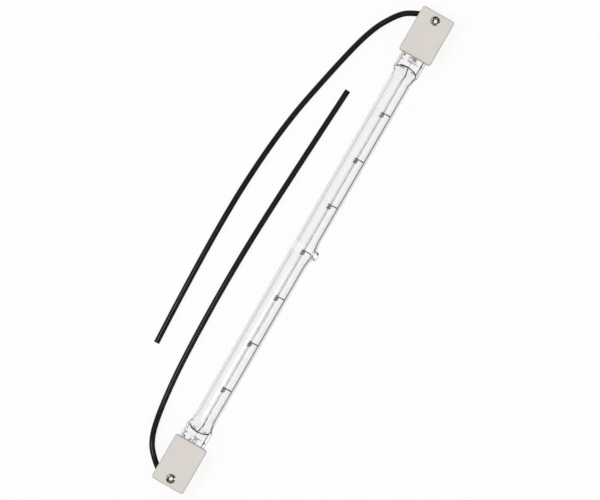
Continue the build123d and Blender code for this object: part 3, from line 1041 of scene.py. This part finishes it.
def support_points(leg_x):
    """A support's line: tail, winding round the coil, leg to the wall and curved foot."""
    turn = COIL_RADIUS + SUPPORT_PLAY + SUPPORT_WIRE / 2
    foot = BORE_RADIUS - SUPPORT_PLAY - SUPPORT_WIRE / 2
    points = []
    count = round(SUPPORT_TURNS * SUPPORT_TURN_STEPS)
    for number in range(count + 1):
        angle = 2 * math.pi * number / SUPPORT_TURN_STEPS
        x = leg_x - SUPPORT_WINDING * (1 - number / count)
        points.append((x, COIL_Y + turn * math.sin(angle), AXIS_Z - turn * math.cos(angle)))
    tail = [(points[0][0], COIL_Y - SUPPORT_TAIL, points[0][2])]
    for number in range(SUPPORT_FOOT_STEPS + 1):
        angle = SUPPORT_FOOT_ANGLE * (0.5 - number / SUPPORT_FOOT_STEPS)
        points.append((leg_x, -foot * math.cos(angle), AXIS_Z + foot * math.sin(angle)))
    return tail + points


def add_supports():
    for number in range(1, SUPPORT_COUNT + 1):
        node = f"filament_support_{number}"
        leg_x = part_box(node)[1].x / MM - SUPPORT_WIRE / 2
        wire = add_wire(f"support_wire_{number}", support_points(leg_x), SUPPORT_DRAWN)
        finish_piece(wire, DARK_WIRE, [node])


def add_inner_leads():
    """The wires from the coil's ends down into the pinches."""
    near, far = INNER_LEAD_BENDS
    for side, sign in (("right", 1), ("left", -1)):
        low, high = [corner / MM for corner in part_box(f"inner_lead_{side}")]
        start, end = (low.x, high.x) if sign > 0 else (high.x, low.x)
        end_z = low.z + INNER_LEAD_D / 2
        points = [
            (start, COIL_Y, AXIS_Z),
            (sign * (COIL_END + near), COIL_Y, AXIS_Z),
            (sign * (COIL_END + far), COIL_Y, AXIS_Z),
            (sign * (CAVITY_END - far), 0, end_z),
            (sign * (CAVITY_END - near), 0, end_z),
            (end, 0, end_z),
        ]
        wire = add_wire(f"inner_wire_{side}", points, INNER_LEAD_D)
        finish_piece(wire, MOLYBDENUM, [f"inner_lead_{side}"])


# Rivets

def rivet_section():
    """Radius and height of the points round a rivet's section, from its bore's lower edge."""
    face = RIVET_LOW.z
    back = face + RIVET_HEAD
    section = [
        (RIVET_BORE_RADIUS, face + RIVET_FACE_EDGE),
        (RIVET_BORE_RADIUS + RIVET_SMALL_EDGE, face),
        (RIVET_RIM_RADIUS - RIVET_HEAD_EDGE, face),
        (RIVET_RIM_RADIUS, face + RIVET_FACE_EDGE),
        (RIVET_RIM_RADIUS, back - RIVET_BACK_EDGE),
        (RIVET_RIM_RADIUS - RIVET_SMALL_EDGE, back),
        (RIVET_SHANK_RADIUS, back),
        (RIVET_SHANK_RADIUS, BLOCK_TOP),
    ]
    curl = (RIVET_RIM_RADIUS - RIVET_BORE_RADIUS) / 2
    for number in range(RIVET_CURL_STEPS + 1):
        angle = math.pi * number / RIVET_CURL_STEPS
        radius = RIVET_BORE_RADIUS + curl + curl * math.cos(angle)
        section.append((radius, BLOCK_TOP + RIVET_CURL * math.sin(angle)))
    return section


def hole_radius(radii, angle):
    """Radius of a torn hole at an angle, eased from each given radius to the next."""
    place = len(radii) * (angle % (2 * math.pi)) / (2 * math.pi)
    here = int(place) % len(radii)
    there = (here + 1) % len(radii)
    return blend(radii[here], radii[there], smooth(place - int(place)))


def torn(point, side, sign):
    """Place of a point of a rivet: its rim is torn open, split once and curled unevenly."""
    radii, split = RIVET_HOLES[side]
    radius = math.hypot(point.x, point.y)
    angle = math.atan2(point.y, point.x)
    height = point.z
    if height > BLOCK_TOP:
        out = (radius - RIVET_BORE_RADIUS) / (RIVET_RIM_RADIUS - RIVET_BORE_RADIUS)
        reach = PETAL_REACH + PETAL_REACH_CHANGE * math.sin(PETAL_REACH_WAVES * angle + sign)
        petal = blend(hole_radius(radii, angle), reach * RIVET_RIM_RADIUS, out)
        turn = math.remainder(angle - split, 2 * math.pi) / SPLIT_HALF_ANGLE
        slit = math.exp(-turn * turn)
        uneven = angle + PETAL_UNEVENNESS * math.sin(2 * angle + sign)
        crease = abs(math.cos(RIVET_PETALS / 2 * uneven)) ** CREASE_SHARPNESS
        radius = blend(petal, SPLIT_REACH * RIVET_RIM_RADIUS, slit)
        raised = blend(1.0, SPLIT_HEIGHT, slit) * blend(CREASE_HEIGHT, PETAL_HEIGHT, crease)
        height = BLOCK_TOP + (height - BLOCK_TOP) * raised
    return sign * RIVET_X + radius * math.cos(angle), radius * math.sin(angle), height


def add_rivet(side, sign):
    """A tubular rivet: its section spun round Z, then its rim torn and moved into place."""
    section = rivet_section()
    deselect()
    bpy.ops.mesh.primitive_circle_add(vertices=len(section), radius=MM, fill_type="NOTHING")
    rivet = newest(f"tubular_rivet_{side}")
    for vertex, (radius, height) in zip(rivet.data.vertices, section):
        vertex.co = Vector((radius, 0, height)) * MM
    bpy.ops.object.mode_set(mode="EDIT")
    bpy.ops.mesh.select_all(action="SELECT")
    bpy.ops.mesh.spin(steps=RIVET_SIDES, angle=2 * math.pi, center=(0, 0, 0), axis=(0, 0, 1))
    bpy.ops.object.mode_set(mode="OBJECT")
    tidy_normals(rivet)
    move_points(rivet, lambda point: torn(point, side, sign))
    smooth_faces(rivet, SHARP_EDGE)
    finish_piece(rivet, RIVET, [f"rivet_{side}"])


# Pieces that keep their solids

def finish_nodes():
    """Give the solids that stay, in sight or inside the blocks, their materials."""
    finishes = {
        "foil": FOIL,
        "outer_lead": DARK_WIRE,
        "crimp_sleeve": PLATED,
        "conductor": STRANDS,
        "base_lower": CERAMIC,
        "base_upper": CERAMIC,
    }
    for side in ("left", "right"):
        for piece, finish in finishes.items():
            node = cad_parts[f"{piece}_{side}"]
            node.data.materials.clear()
            node.data.materials.append(finish)


# Ground and light

def painted_shadow_under_glass(tree):
    """Painted shadow on the ground, seen only through the glass: dark far off on the tip's side,
    dimmer far off on the other, bright under the tip.
    """
    split = split_place(tree, own_place(tree))
    ramp = tree.nodes.new("ShaderNodeValToRGB")
    reach = PAINTED_SHADOW_REACH * MM
    tree.links.new(ramped(tree, split["Y"], -reach, reach, kind="LINEAR"), ramp.inputs["Fac"])
    stops = ramp.color_ramp.elements
    for stop, (position, value) in zip(stops, (PAINTED_SHADOW_STOPS[0], PAINTED_SHADOW_STOPS[-1])):
        stop.position = position
        stop.color = (*grey(value), 1)
    for position, value in PAINTED_SHADOW_STOPS[1:-1]:
        stops.new(position).color = (*grey(value), 1)
    from_tip = maths(tree, "ABSOLUTE", maths(tree, "SUBTRACT", split["X"], TIP_X * MM))
    near, far = TIP_UNSHADED_REACH
    under_tip = ramped(tree, from_tip, near * MM, far * MM, 1.0, 0.0)
    return mixed_colour(tree, under_tip, ramp.outputs["Color"], grey(UNSHADED_UNDER_TIP))


def add_ground():
    """White ground: it keeps the shadows, is bright to the camera and shows a painted shadow
    through the glass.
    """
    deselect()
    bpy.ops.mesh.primitive_plane_add(size=GROUND_SIZE * MM)
    ground = newest("ground")
    constants = {"Base Color": (*grey(0.92), 1), "Roughness": 0.9, "Specular IOR Level": 0.0}
    finish = new_finish("white ground", constants)
    tree = finish.node_tree
    path = tree.nodes.new("ShaderNodeLightPath").outputs
    white = tree.nodes.new("ShaderNodeEmission")
    shadowed_glow = tree.nodes.new("ShaderNodeEmission")
    # Painted shadow: rays through the glass see this uneven brightness
    tree.links.new(painted_shadow_under_glass(tree), shadowed_glow.inputs["Color"])
    camera_or_mirror = maths(tree, "MAXIMUM", path["Is Camera Ray"], path["Is Glossy Ray"])
    seen = maths(tree, "MULTIPLY", camera_or_mirror, SEEN_SHARE)
    through = maths(tree, "MULTIPLY", path["Is Transmission Ray"], THROUGH_SHARE)
    surface = mixed_shader(tree, seen, shader_of(finish).outputs["BSDF"], white.outputs["Emission"])
    surface = mixed_shader(tree, through, surface, shadowed_glow.outputs["Emission"])
    tree.links.new(surface, tree.nodes["Material Output"].inputs["Surface"])
    ground.data.materials.append(finish)


def add_world():
    """Bright overhead, darker towards the horizon and on the side away from the leads."""
    world = bpy.data.worlds.new("soft studio")
    bpy.context.scene.world = world
    world.use_nodes = True
    tree = world.node_tree
    back = tree.nodes["Background"]
    back.inputs["Color"].default_value = (*grey(1.0), 1)
    direction = tree.nodes.new("ShaderNodeTexCoord").outputs["Generated"]
    lean = vector_maths(tree, "DOT_PRODUCT", direction, Vector(SKY_LEAN).normalized())
    sky = ramped(tree, lean.outputs["Value"], *SKY_HEIGHTS, *SKY_STRENGTHS, kind="LINEAR")
    path = tree.nodes.new("ShaderNodeLightPath").outputs
    straight = maths(tree, "MAXIMUM", path["Is Camera Ray"], path["Is Transmission Ray"])
    plain = tree.nodes.new("ShaderNodeMix")
    tree.links.new(straight, plain.inputs["Factor"])
    tree.links.new(sky, plain.inputs["A"])
    plain.inputs["B"].default_value = 1.0
    tree.links.new(plain.outputs["Result"], back.inputs["Strength"])


def add_lights():
    """A soft window above the leads' side and a weaker, softer one on the other side."""
    for name, place, width, power in LAMPS:
        bpy.ops.object.light_add(type="AREA", location=Vector(place) * MM)
        lamp = newest(name)
        lamp.data.size = width * MM
        lamp.data.energy = power
        lamp.rotation_euler = (-Vector(place)).to_track_quat("-Z", "Y").to_euler()


bpy.context.scene.view_settings.view_transform = "Standard"
MOTTLING = add_mottling_group()
GLASS_SHADE = add_glass_shade_group()
RIVET_SHADE_AND_HIGHLIGHTS = add_rivet_shade_group()
QUARTZ = quartz_glass()
CERAMIC = ceramic()
INSULATION = lead_insulation()
MOLYBDENUM = molybdenum()
RIVET = rivet_steel()
TUNGSTEN = metal("tungsten coil", grey(0.66), grey(0.76), (0.3, 0.45))
DARK_WIRE = metal("dark drawn wire", grey(0.02), (0.05, 0.05, 0.045), (0.35, 0.5))
FOIL = metal("thin foil", (0.22, 0.21, 0.21), (0.82, 0.81, 0.80), (0.3, 0.45), patches=900.0)
PLATED = metal("plated steel", (0.58, 0.57, 0.55), (0.68, 0.67, 0.65), (0.25, 0.4))
STRANDS = metal("plated strands", (0.70, 0.62, 0.52), (0.80, 0.72, 0.62), (0.25, 0.4))

# Camera and cords first, then the other pieces
add_camera()
add_lead("left", LEFT_ROUTE, -1)
add_lead("right", RIGHT_ROUTE, 1)
add_envelope()
add_filament()
add_supports()
add_inner_leads()
add_rivet("left", -1)
add_rivet("right", 1)
finish_nodes()
add_ground()
add_world()
add_lights()
